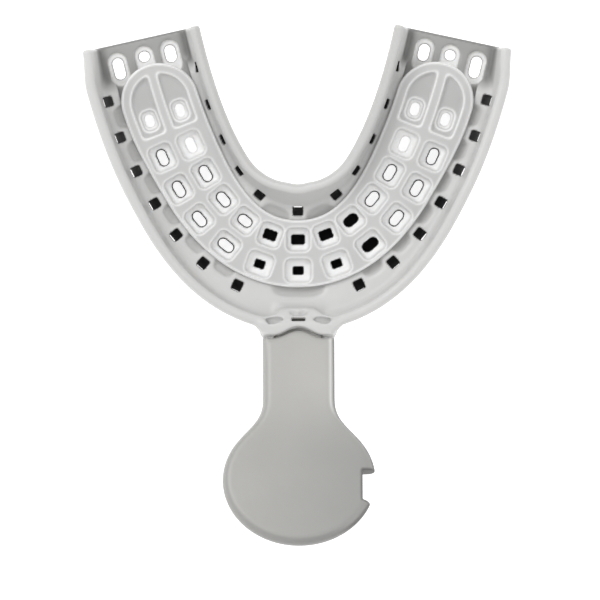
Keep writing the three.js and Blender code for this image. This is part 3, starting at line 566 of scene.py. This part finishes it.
def socket_hollow(p):
    """The cavity for the tongue, the arched mouth and the catch's hole."""
    half = TONGUE_WIDTH / 2 + CLEARANCE
    depth = TONGUE_LENGTH + CLEARANCE
    middle = -SOCKET_WALL - CAVITY_HEIGHT / 2
    cavity = np.maximum(np.abs(p.x) - half, p.hy - depth)
    cavity = np.maximum(cavity, np.abs(p.hz - middle) - CAVITY_HEIGHT / 2)
    mouth = p.hy - seam_arch(p.x)
    slot = rounded_box(p.x, p.hy - CATCH_INSET, CATCH_WIDTH, CATCH_LENGTH, CATCH_CORNER)
    slot = np.maximum(slot, middle - p.hz)
    return np.minimum(np.minimum(cavity, mouth), slot)


def dimple(p, x, y, length, width, turn):
    """A shallow lens-shaped hollow in the socket's top, on both sides, turned by some degrees."""
    c, s = math.cos(math.radians(turn)), math.sin(math.radians(turn))
    dx, dy = np.abs(p.x) - x, p.hy - y
    u, v = dx * c + dy * s, dy * c - dx * s
    reach = np.sqrt((u / length) ** 2 + (v / width) ** 2 + (p.hz / DIMPLE_DEPTH) ** 2)
    return (reach - 1) * DIMPLE_DEPTH


def dimples(p):
    beside = dimple(p, x=4.5, y=2.35, length=1.9, width=0.8, turn=-8)
    over = dimple(p, x=0.7, y=4.0, length=1.0, width=0.55, turn=22)
    return np.minimum(beside, over)


def shell(p):
    """Walls, ledges and socket as one body, with the recesses, holes, dishes and windows cut from it."""
    body = soft_min(trough_section(p), ledges(p), FILLET)
    body = soft_min(body, socket(p), SOCKET_BLEND)
    body = soft_max(body, p.s - LEG, OPEN_END_EDGE)
    body = np.maximum(body, -p.z)
    recess = np.maximum(end_recesses(p), WALL - END_DEPTH - p.z)
    recess = np.maximum(recess, p.z - 3 * WALL)
    body = soft_max(body, -recess, EDGE)
    body = soft_max(body, -np.maximum(floor_holes(p), p.z - SPACER_TOP), HOLE_EDGE)
    body = soft_max(body, -scallops(p), SCALLOP_EDGE)
    body = soft_max(body, -windows(p), SMALL_EDGE)
    body = soft_max(body, -dimples(p), EDGE)
    return soft_max(body, -socket_hollow(p), SMALL_EDGE)


# ---------------------------------------------------------------- the spacer

def spacer_plan(p):
    """Distance in plan to the strip's outline, which ends in a half circle on each leg."""
    radius = (SPACER_OUTER_LEG + SPACER_INNER_LEG) / 2
    bend = SPACER_END - radius
    middle = radius - SPACER_OUTER_LEG
    strip = np.maximum(-p.m - spacer_outer(p.s), p.m - spacer_inner(p.s))
    tip = np.hypot(p.s - bend, p.m - middle) - radius
    return np.where(p.s > bend, tip, strip)


def pocket_plan(p):
    return nearest_box(p, [(s, m, length, POCKET_WIDTH, POCKET_CORNER) for s, m, length in POCKETS])


def d_plan(p):
    """The pair of D-shaped pockets: the spacer's round end, pulled in and split by the rib."""
    outline = spacer_plan(p) + D_BORDER
    pair = soft_max(outline, D_NEAR - p.s, D_CORNER)
    return soft_max(pair, D_RIB / 2 - np.abs(p.m - D_AXIS), D_CORNER)


def well_plan(p):
    """The deeper pocket round the hole in each D-shaped one."""
    return nearest_box(p, [(s, m, D_WELL_LENGTH, D_WELL_WIDTH, POCKET_CORNER) for s, m in D_HOLES])


def fine_line(distance, width=LINE_WIDTH):
    """One where distance is zero, and nothing a width or two away."""
    return np.exp(-((distance / width) ** 2))


def spacer_blank(p, pockets, ds):
    """The strip with its flange and fine raised lines, before any pocket is sunk."""
    plan = spacer_plan(p)
    lines = fine_line(pockets - LINE_OFFSET) + fine_line(ds - LINE_OFFSET)
    lines += fine_line(plan + RIM_LINE_OFFSET)
    top = SPACER_TOP + LINE_HEIGHT * (lines - 1)
    flange = soft_max(soft_max(plan, p.z - top, FLANGE_EDGE), LEDGE_TOP + CLEARANCE - p.z, HOLE_EDGE)
    body = soft_max(plan + LEDGE_OVERLAP, SPACER_BOTTOM - p.z, FLANGE_EDGE)
    body = np.maximum(body, p.z - LEDGE_TOP - CLEARANCE - FLANGE_EDGE)
    return soft_min(body, flange, HOLE_EDGE)


def spacer(p):
    """The strip with its pockets sunk, their walls drafted, and a slot through each."""
    pockets, ds, wells = pocket_plan(p), d_plan(p), well_plan(p)
    slots = slots_plan(p, ALL_SLOTS, -SLOT_TIGHTENING)
    draft = POCKET_DRAFT / POCKET_DEPTH
    floor = SPACER_TOP - POCKET_DEPTH - p.z
    narrowed = draft * (SPACER_TOP - p.z)
    body = spacer_blank(p, pockets, ds)
    body = soft_max(body, -soft_max(pockets + narrowed, floor, POCKET_FOOT), EDGE)
    body = soft_max(body, -soft_max(ds + narrowed, SPACER_TOP - D_DEPTH - p.z, D_FOOT), EDGE)
    body = soft_max(body, -soft_max(wells + narrowed - draft * D_DEPTH, floor, WELL_FOOT), EDGE)
    return soft_max(body, -(slots + SLOT_DRAFT * floor), HOLE_EDGE)


# ---------------------------------------------------------------- the handle

def handle_outline():
    """Neck and oval pad in the handle's frame, seen from above."""
    half = NECK_WIDTH / 2
    join_x = PAD_HALF_WIDTH * math.cos(PAD_JOIN)
    join_y = PAD_HALF_LENGTH * math.sin(PAD_JOIN) - PAD_CENTRE
    lead = np.array([-PAD_HALF_WIDTH * math.sin(PAD_JOIN), PAD_HALF_LENGTH * math.cos(PAD_JOIN)])
    lead *= PAD_FILLET / np.hypot(*lead)
    fillet = bezier([
        (-half, -NECK_LENGTH), (-half, -NECK_LENGTH - PAD_FILLET),
        (join_x - lead[0], join_y - lead[1]), (join_x, join_y),
    ], np.linspace(0, 1, PAD_FILLET_STEPS))
    angles = np.linspace(PAD_JOIN, 3 * math.pi - PAD_JOIN, PAD_STEPS)[1:-1]
    oval = np.stack([PAD_HALF_WIDTH * np.cos(angles), PAD_HALF_LENGTH * np.sin(angles) - PAD_CENTRE], 1)
    round_pad = [tuple(point) for point in np.vstack([fillet, oval, fillet[::-1] * (-1, 1)])]
    return [(-half, OUTLINE_PAST_SEAM)] + round_pad + [(half, OUTLINE_PAST_SEAM)]


def notch(x, y):
    inner, outer = PAD_HALF_WIDTH - NOTCH_DEPTH, PAD_HALF_WIDTH + BEYOND
    low = -NOTCH_TOP - NOTCH_HEIGHT
    return polygon(x, y, [
        (inner, -NOTCH_TOP), (inner, low + NOTCH_SLANT), (outer, low - NOTCH_SLANT), (outer, -NOTCH_TOP),
    ])


def neck_and_pad(x, y, z, outline, cut):
    """A plate of this outline with chamfered edges, the notch cut from it."""
    plan = soft_max(outline, y + CLEARANCE - seam_arch(x), SEAM_EDGE)
    level = np.abs(z + HANDLE_THICKNESS / 2) - HANDLE_THICKNESS / 2
    slant = (plan + level + HANDLE_CHAMFER) / math.sqrt(2)
    body = soft_max(soft_max(plan, level, FACE_EDGE), slant, CHAMFER_EDGE)
    return soft_max(body, -cut, NOTCH_EDGE)


def handle(x, y, z, outline, cut):
    """The handle in its own frame, before it is turned up and moved to the seam."""
    top = -SOCKET_WALL - CLEARANCE
    tongue = np.maximum(np.abs(x) - TONGUE_WIDTH / 2, np.maximum(y - TONGUE_LENGTH, -TONGUE_ROOT - y))
    thickness = np.abs(z - top + TONGUE_THICKNESS / 2) - TONGUE_THICKNESS / 2
    tongue = soft_max(tongue, thickness, TONGUE_EDGE)
    nub = np.maximum(np.abs(x) - CATCH_WIDTH / 2 + CLEARANCE, np.abs(y - CATCH_INSET) - CATCH_LENGTH / 4)
    nub = np.maximum(nub, np.abs(z - top) - NUB_HEIGHT)
    return np.minimum(soft_min(neck_and_pad(x, y, z, outline, cut), tongue, TONGUE_EDGE), nub)


# ---------------------------------------------------------------- meshing

def crossings(values, axis):
    """The grid's edges along an axis that cross the surface, where they do, and which lead out of it."""
    near = [slice(None)] * 3
    far = [slice(None)] * 3
    near[axis], far[axis] = slice(0, -1), slice(1, None)
    before, after = values[tuple(near)], values[tuple(far)]
    edges = np.argwhere((before < 0) != (after < 0))
    a, b = before[tuple(edges.T)], after[tuple(edges.T)]
    places = edges.astype(float)
    places[:, axis] += a / (a - b)
    return edges, places, a < 0


def surface(values, low):
    """Vertices and quads on the zero surface of values, sampled at low + STEP * index."""
    cells = np.array(values.shape) - 1
    size = int(cells.prod())
    totals, counts, quads = np.zeros((3, size)), np.zeros(size), []
    for axis in range(3):
        edges, places, outward = crossings(values, axis)
        first, second = (axis + 1) % 3, (axis + 2) % 3
        ring = []
        for du, dv in ((-1, -1), (0, -1), (0, 0), (-1, 0)):
            cell = edges.copy()
            cell[:, first] += du
            cell[:, second] += dv
            ids = np.ravel_multi_index(tuple(cell.T), tuple(cells))
            counts += np.bincount(ids, minlength=size)
            for k in range(3):
                totals[k] += np.bincount(ids, places[:, k], minlength=size)
            ring.append(ids)
        quad = np.stack(ring, 1)
        quad[~outward] = quad[~outward][:, ::-1]
        quads.append(quad)
    used, quads = np.unique(np.vstack(quads), return_inverse=True)
    vertices = (totals[:, used] / counts[used]).T * STEP + low
    return vertices, quads.reshape(-1, 4)


def settle(vertices, field, rounds=2):
    """Vertices moved onto the field's exact zero surface."""
    tiny, least_slope, furthest = 0.02, 0.3, 0.4 * STEP
    for _ in range(rounds):
        x, y, z = vertices.T
        here = field(x, y, z)
        slope = np.stack([
            field(x + tiny, y, z) - here,
            field(x, y + tiny, z) - here,
            field(x, y, z + tiny) - here,
        ], 1) / tiny
        steep = np.maximum((slope ** 2).sum(1), least_slope)
        move = -(here / steep)[:, None] * slope
        vertices = vertices + np.clip(move, -furthest, furthest)
    return vertices


def grid(low, high):
    return [np.arange(a, b + STEP, STEP) for a, b in zip(low, high)]


def arch_piece(field, high_z):
    """A piece that follows the arch, meshed one leg at a time to spare the memory."""
    halves = []
    for side in (-1, 1):
        xs, ys, zs = grid((0, -17.0, -1.0), (39.5, 43.0, high_z))
        x, y = np.meshgrid(side * xs, ys, indexing="ij")
        halves.append(field(Place(x[:, :, None], y[:, :, None], zs[None, None, :])))
    both = np.concatenate([halves[0][:0:-1], halves[1]])
    vertices, quads = surface(both, np.array([-xs[-1], ys[0], zs[0]]))
    vertices = settle(vertices, lambda x, y, z: field(Place(x, y, z)))
    return vertices, quads


def build_object(name, vertices, quads):
    """A smooth-shaded object in the row frame, from vertices in the design frame."""
    mesh = bpy.data.meshes.new(name)
    mesh.from_pydata((vertices + (0, DESIGN_Y, 0)) * MM, [], quads.tolist())
    mesh.update()
    mesh.polygons.foreach_set("use_smooth", np.ones(len(quads), bool))
    thing = bpy.data.objects.new(name, mesh)
    bpy.context.scene.collection.objects.link(thing)
    return thing


def paint(thing, **layers):
    """Keeps one number per vertex and layer for the material to read."""
    for name, values in layers.items():
        layer = thing.data.attributes.new(name, "FLOAT", "POINT")
        layer.data.foreach_set("value", np.asarray(values, np.float32))


# ---------------------------------------------------------------- the pieces and their painted light and shade

def in_trough(p):
    """One above the walls' middle lines, inside the trough, and nothing below them."""
    return fade(p.z - wall_middle(p), -0.3, 0.3)


def recess_paint(p):
    """One in the recesses of the bare floor, nothing outside them."""
    return fade(-end_recesses(p), -0.12, 0.12) * fade(WALL + 0.6 - p.z, 0, 0.3)


def wall_foot(p, m, width):
    """One along the line m near the open ends, nothing a width or two away."""
    return fine_line(p.m - m, width) * fade(p.s, SPACER_END - 4, SPACER_END + 1)


def shell_grey(p):
    """Painted shade on the bare floor at the open ends, its edge, the walls' feet there, the inner wall
    and the dimples.
    """
    bare = 0.5 * fade(p.s, SPACER_END - 6, SPACER_END - 1) * fade(3.4 - p.z, 0, 1.6)
    feet = (0.55 * wall_foot(p, -7.6, 1.0) + 0.5 * wall_foot(p, 7.6, 0.7)) * fade(7 - p.z, 0, 4)
    brink = 0.6 * fade(p.s, LEG - 0.5, LEG - 0.2) * fade(p.z, 0.5, 1.2) * fade(3 - p.z, 0, 1)
    inner_wall = 0.25 * in_trough(p) * fade(p.m, 6, 8) * fade(p.s, 14, 26)
    dents = 0.7 * fade(0.1 - dimples(p), 0, 0.2)
    return np.clip(bare + feet + brink + inner_wall + dents, 0, 1) * (1 - recess_paint(p))


def shell_painted_light(p):
    """Painted light: the recesses lightened as if lit through their thin floors, and a little of it on the
    walls' insides from the ledges up.
    """
    recess = recess_paint(p)
    walls = 0.3 * fade(p.z, LEDGE_TOP - 1, LEDGE_TOP) * in_trough(p)
    return recess + walls * (1 - recess)


def shell_black(p):
    """Black painted shade in the windows, thinner on the outer wall's legs, on the blind holes' floors and
    on the open holes' sides.
    """
    blind = np.minimum(slots_plan(p, ["front"]), np.maximum(slots_plan(p, ["corner"]), -p.x))
    blind = fade(0.7 - blind, 0, 0.3) * fade(p.z, 0.8, 1.2) * (p.z < LEDGE_TOP)
    sides = 0.7 * fade(0.22 - floor_holes(p), 0, 0.2) * fade(1.7 - p.z, 0, 0.3) * fade(p.z, 0.05, 0.3)
    openings = windows(p)
    thinner = 0.3 * fade(p.s, 27, 31) * fade(-p.m, 0, 1) * fade(-openings, -0.05, 0.1)
    deep = fade(0.18 - openings, 0, 0.16) - thinner
    return np.clip(deep + blind + sides, 0, 1)


def make_shell():
    vertices, quads = arch_piece(shell, 13.5)
    p = Place(*vertices.T)
    thing = build_object("trough_shell", vertices, quads)
    # painted shade, painted light and black painted shade in the holes, read by the material
    paint(thing, grey=shell_grey(p), pale=shell_painted_light(p), black=shell_black(p))
    return thing


def spacer_line_highlights(p, pockets, ds, wells):
    """Painted highlights along the raised lines, on the top and down to the D-shaped pockets' floors."""
    lines = 0.8 * fine_line(pockets - 0.08) + fine_line(ds - 0.08) + fine_line(spacer_plan(p) + 0.25)
    lines = np.clip(np.maximum(lines, fine_line(wells - 0.1)), 0, 1)
    return 0.9 * lines * (p.z > SPACER_TOP - D_DEPTH - 0.4)


def make_spacer():
    """Painted light in the pockets, painted shade on the D-shaped ones' floors, and a line of black
    painted shade round each slot.
    """
    vertices, quads = arch_piece(spacer, 6.0)
    p = Place(*vertices.T)
    pockets, ds, wells = pocket_plan(p), d_plan(p), well_plan(p)
    sunk = np.minimum(pockets, np.maximum(wells, p.z - SPACER_TOP + D_DEPTH / 2))
    inside_slots = fade(SPACER_TOP - POCKET_DEPTH - 0.02 - p.z, 0, 0.12)
    thing = build_object("spacer_strip", vertices, quads)
    paint(
        thing,
        # painted light in the pockets, as if lit through their thin floors
        pale=fade(-sunk, -0.1, 0.5) * fade(SPACER_TOP - p.z, 0.1, 0.6),
        # painted shade on the D-shaped pockets' floors
        grey=0.22 * fade(-ds, 0.1, 0.4) * fade(wells, -0.2, 0.4),
        # painted highlights along the raised lines
        edge=spacer_line_highlights(p, pockets, ds, wells),
        # black painted shade round the slots
        black=fade(0.16 - slots_plan(p, ["front", "corner", "leg"]), 0, 0.12) * inside_slots,
    )
    return thing


def handle_mesh(outline):
    """The handle's vertices and quads, in its own frame."""
    xs, ys, zs = grid((-15.0, -41.0, -4.5), (15.0, 5.5, 1.3))
    x, y, z = np.meshgrid(xs, ys, zs, indexing="ij")

    def field(x, y, z, plan_x, plan_y):
        return handle(x, y, z, polygon(plan_x, plan_y, outline), notch(plan_x, plan_y))

    values = field(x, y, z, x[:, :, :1], y[:, :, :1])
    vertices, quads = surface(values, np.array([xs[0], ys[0], zs[0]]))
    return settle(vertices, lambda x, y, z: field(x, y, z, x, y)), quads


def make_handle():
    """Turned up to its slope; painted shade darkens the pad to the right, where its edge has a painted
    highlight line and a black painted shadow line.
    """
    outline = handle_outline()
    vertices, quads = handle_mesh(outline)
    c, s = math.cos(HANDLE_TILT), math.sin(HANDLE_TILT)
    x, y, z = vertices.T
    turned = np.stack([x, y * c + z * s + SEAM_Y, z * c - y * s + SEAM_Z], 1)
    outer = np.maximum(polygon(x, y, outline), -notch(x, y))
    # the right-hand side, where the painted shade and edge lines go
    right = fade(x + 0.35 * y, -8, -2)
    # painted shade on the left chamfers, muting their highlight
    chamfer_shade = 0.3 * fade(outer, -1.2, -0.7) * (1 - right)
    thing = build_object("paddle_handle", turned, quads)
    paint(
        thing,
        # painted light, a little lighter towards the tray
        pale=0.05 * fade(y, -24, -2),
        # painted shade, darker over the pad and to the right, with the chamfers' painted shade
        grey=fade(-y, 8, 24) * (0.12 + 0.4 * fade(x, -14, 14)) + chamfer_shade,
        # painted highlight line along the right-hand edge
        edge=0.54 * fine_line(outer + 0.75, 0.22) * right * fade(y, -16, -12),
        # black painted shadow line along the right-hand edge
        black=0.55 * fade(outer, -0.5, -0.15) * right,
    )
    return thing


# ---------------------------------------------------------------- materials

# Colours of the painted layers: painted shade, painted light, painted highlights and black painted shade.
LIGHT_AND_SHADE_TINTS = {
    "grey": (0.24, 0.24, 0.235),
    "pale": (0.94, 0.94, 0.935),
    "edge": (0.97, 0.97, 0.965),
    "black": (0.0, 0.0, 0.0),
}
CLOUD_SCALE, GRAIN_SCALE = 70.0, 900.0
CLOUD_DARK, CLOUD_PALE = 0.95, 1.04
GRAIN_HEIGHT = 0.00004


def painted(tree, layer):
    """The number painted on the piece for this layer."""
    reader = tree.nodes.new("ShaderNodeAttribute")
    reader.attribute_name = layer
    return reader.outputs["Fac"]


def noise(tree, scale, detail):
    place = tree.nodes.new("ShaderNodeTexCoord")
    texture = tree.nodes.new("ShaderNodeTexNoise")
    texture.inputs["Scale"].default_value = scale
    texture.inputs["Detail"].default_value = detail
    tree.links.new(place.outputs["Object"], texture.inputs["Vector"])
    return texture.outputs["Fac"]


def cloudy(tree, cloud, body):
    """The body colour, a little darker and paler in soft clouds."""
    ramp = tree.nodes.new("ShaderNodeValToRGB")
    dark, pale = ramp.color_ramp.elements
    dark.position, pale.position = 0.3, 0.7
    dark.color = (*[v * CLOUD_DARK for v in body], 1)
    pale.color = (*[v * CLOUD_PALE for v in body], 1)
    tree.links.new(cloud, ramp.inputs["Fac"])
    return ramp.outputs["Color"]


def tinted(tree, colour, layer, tint):
    """The colour mixed towards a tint where the piece's painted layer says so."""
    mix = tree.nodes.new("ShaderNodeMix")
    mix.data_type = "RGBA"
    mix.inputs["B"].default_value = (*tint, 1)
    tree.links.new(painted(tree, layer), mix.inputs["Factor"])
    tree.links.new(colour, mix.inputs["A"])
    return mix.outputs["Result"]


def satin(tree, cloud, roughness):
    """Roughness that changes a little with the clouds, and is fully dull under the black painted shade."""
    polish = tree.nodes.new("ShaderNodeMapRange")
    polish.inputs["To Min"].default_value = roughness - 0.06
    polish.inputs["To Max"].default_value = roughness + 0.08
    tree.links.new(cloud, polish.inputs["Value"])
    dull = tree.nodes.new("ShaderNodeMath")
    dull.operation = "MAXIMUM"
    tree.links.new(polish.outputs["Result"], dull.inputs[0])
    tree.links.new(painted(tree, "black"), dull.inputs[1])
    return dull.outputs["Value"]


def grained(tree):
    """The fine grain of the mould, as a normal."""
    bump = tree.nodes.new("ShaderNodeBump")
    bump.inputs["Strength"].default_value = 0.12
    bump.inputs["Distance"].default_value = GRAIN_HEIGHT
    tree.links.new(noise(tree, GRAIN_SCALE, 3.0), bump.inputs["Height"])
    return bump.outputs["Normal"]


def moulded_plastic(name, body, roughness):
    """Satin plastic: cloudy colour, with painted light where it is thin, painted highlights on its edges,
    painted shade, and black painted shade deep in its holes.
    """
    material = bpy.data.materials.new(name)
    material.use_nodes = True
    tree = material.node_tree
    cloud = noise(tree, CLOUD_SCALE, 4.0)
    colour = cloudy(tree, cloud, body)
    # mixes in the painted shade, painted light, painted highlight and black painted shade layers
    for layer, tint in LIGHT_AND_SHADE_TINTS.items():
        colour = tinted(tree, colour, layer, tint)
    shader = tree.nodes["Principled BSDF"]
    tree.links.new(colour, shader.inputs["Base Color"])
    tree.links.new(satin(tree, cloud, roughness), shader.inputs["Roughness"])
    tree.links.new(grained(tree), shader.inputs["Normal"])
    shader.inputs["IOR"].default_value = 1.49
    shader.inputs["Subsurface Weight"].default_value = 0.15
    shader.inputs["Subsurface Radius"].default_value = (1.0, 0.95, 0.85)
    shader.inputs["Subsurface Scale"].default_value = 0.0012
    return material


def floor_material():
    material = bpy.data.materials.new("studio_floor")
    material.use_nodes = True
    shader = material.node_tree.nodes["Principled BSDF"]
    shader.inputs["Base Color"].default_value = (0.7, 0.7, 0.7, 1)
    shader.inputs["Roughness"].default_value = 0.9
    shader.inputs["Emission Color"].default_value = (1, 1, 1, 1)
    shader.inputs["Emission Strength"].default_value = 0.8
    return material


# ---------------------------------------------------------------- studio

FLOOR_HALF, FLOOR_GAP = 1.5, 0.0001
VIEW_WIDTH, VIEW_DISTANCE = 0.106, 2.5
VIEW_X, VIEW_Y, VIEW_ROLL = 0.0003, -0.00264, math.radians(-0.27)
SENSOR_MM = 36


def make_floor():
    half = FLOOR_HALF
    mesh = bpy.data.meshes.new("studio_floor")
    corners = [(-half, -half, 0), (half, -half, 0), (half, half, 0), (-half, half, 0)]
    mesh.from_pydata(corners, [], [(0, 1, 2, 3)])
    floor = bpy.data.objects.new("studio_floor", mesh)
    bpy.context.scene.collection.objects.link(floor)
    floor.data.materials.append(floor_material())
    floor.location.z = CAD_BOUNDS[0][2] - FLOOR_GAP


def make_light(name, place, size, power):
    """A round soft light aimed at the origin."""
    light = bpy.data.lights.new(name, "AREA")
    light.shape = "DISK"
    light.size = size
    light.energy = power
    thing = bpy.data.objects.new(name, light)
    thing.location = place
    thing.rotation_euler = (-Vector(place)).to_track_quat("-Z", "Y").to_euler()
    bpy.context.scene.collection.objects.link(thing)


def make_studio():
    make_light("key", place=(-0.5, 0.5, 0.8), size=0.6, power=4.4)
    make_light("fill", place=(0.6, -0.3, 0.9), size=0.8, power=2.0)
    world = bpy.data.worlds.new("studio")
    world.use_nodes = True
    world.node_tree.nodes["Background"].inputs["Color"].default_value = (1, 1, 1, 1)
    world.node_tree.nodes["Background"].inputs["Strength"].default_value = 0.6
    bpy.context.scene.world = world
    bpy.context.scene.view_settings.view_transform = "Standard"


def make_camera():
    """Straight above, handle downwards, with the view's width measured at the rim's height."""
    camera = bpy.data.cameras.new("camera")
    camera.sensor_width = SENSOR_MM
    camera.lens = SENSOR_MM * VIEW_DISTANCE / VIEW_WIDTH
    thing = bpy.data.objects.new("camera", camera)
    thing.location = (VIEW_X, VIEW_Y, BUCCAL_HEIGHT_LEG * MM + VIEW_DISTANCE)
    thing.rotation_euler.z = VIEW_ROLL
    bpy.context.scene.collection.objects.link(thing)
    bpy.context.scene.camera = thing


# ---------------------------------------------------------------- the scene

make_camera()
make_studio()
make_floor()

PIECES = [
    (make_shell, "tray", "tray_shell", "tray_plastic", (0.57, 0.57, 0.56), 0.4),
    (make_spacer, "spacer", "spacer_insert", "spacer_plastic", (0.61, 0.61, 0.605), 0.38),
    (make_handle, "handle", "handle", "handle_plastic", (0.48, 0.475, 0.457), 0.42),
]
for make, body, node, slot, colour, roughness in PIECES:
    piece = make()
    piece.data.materials.append(moulded_plastic(slot, colour, roughness))
    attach(piece, body)
    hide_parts(node)
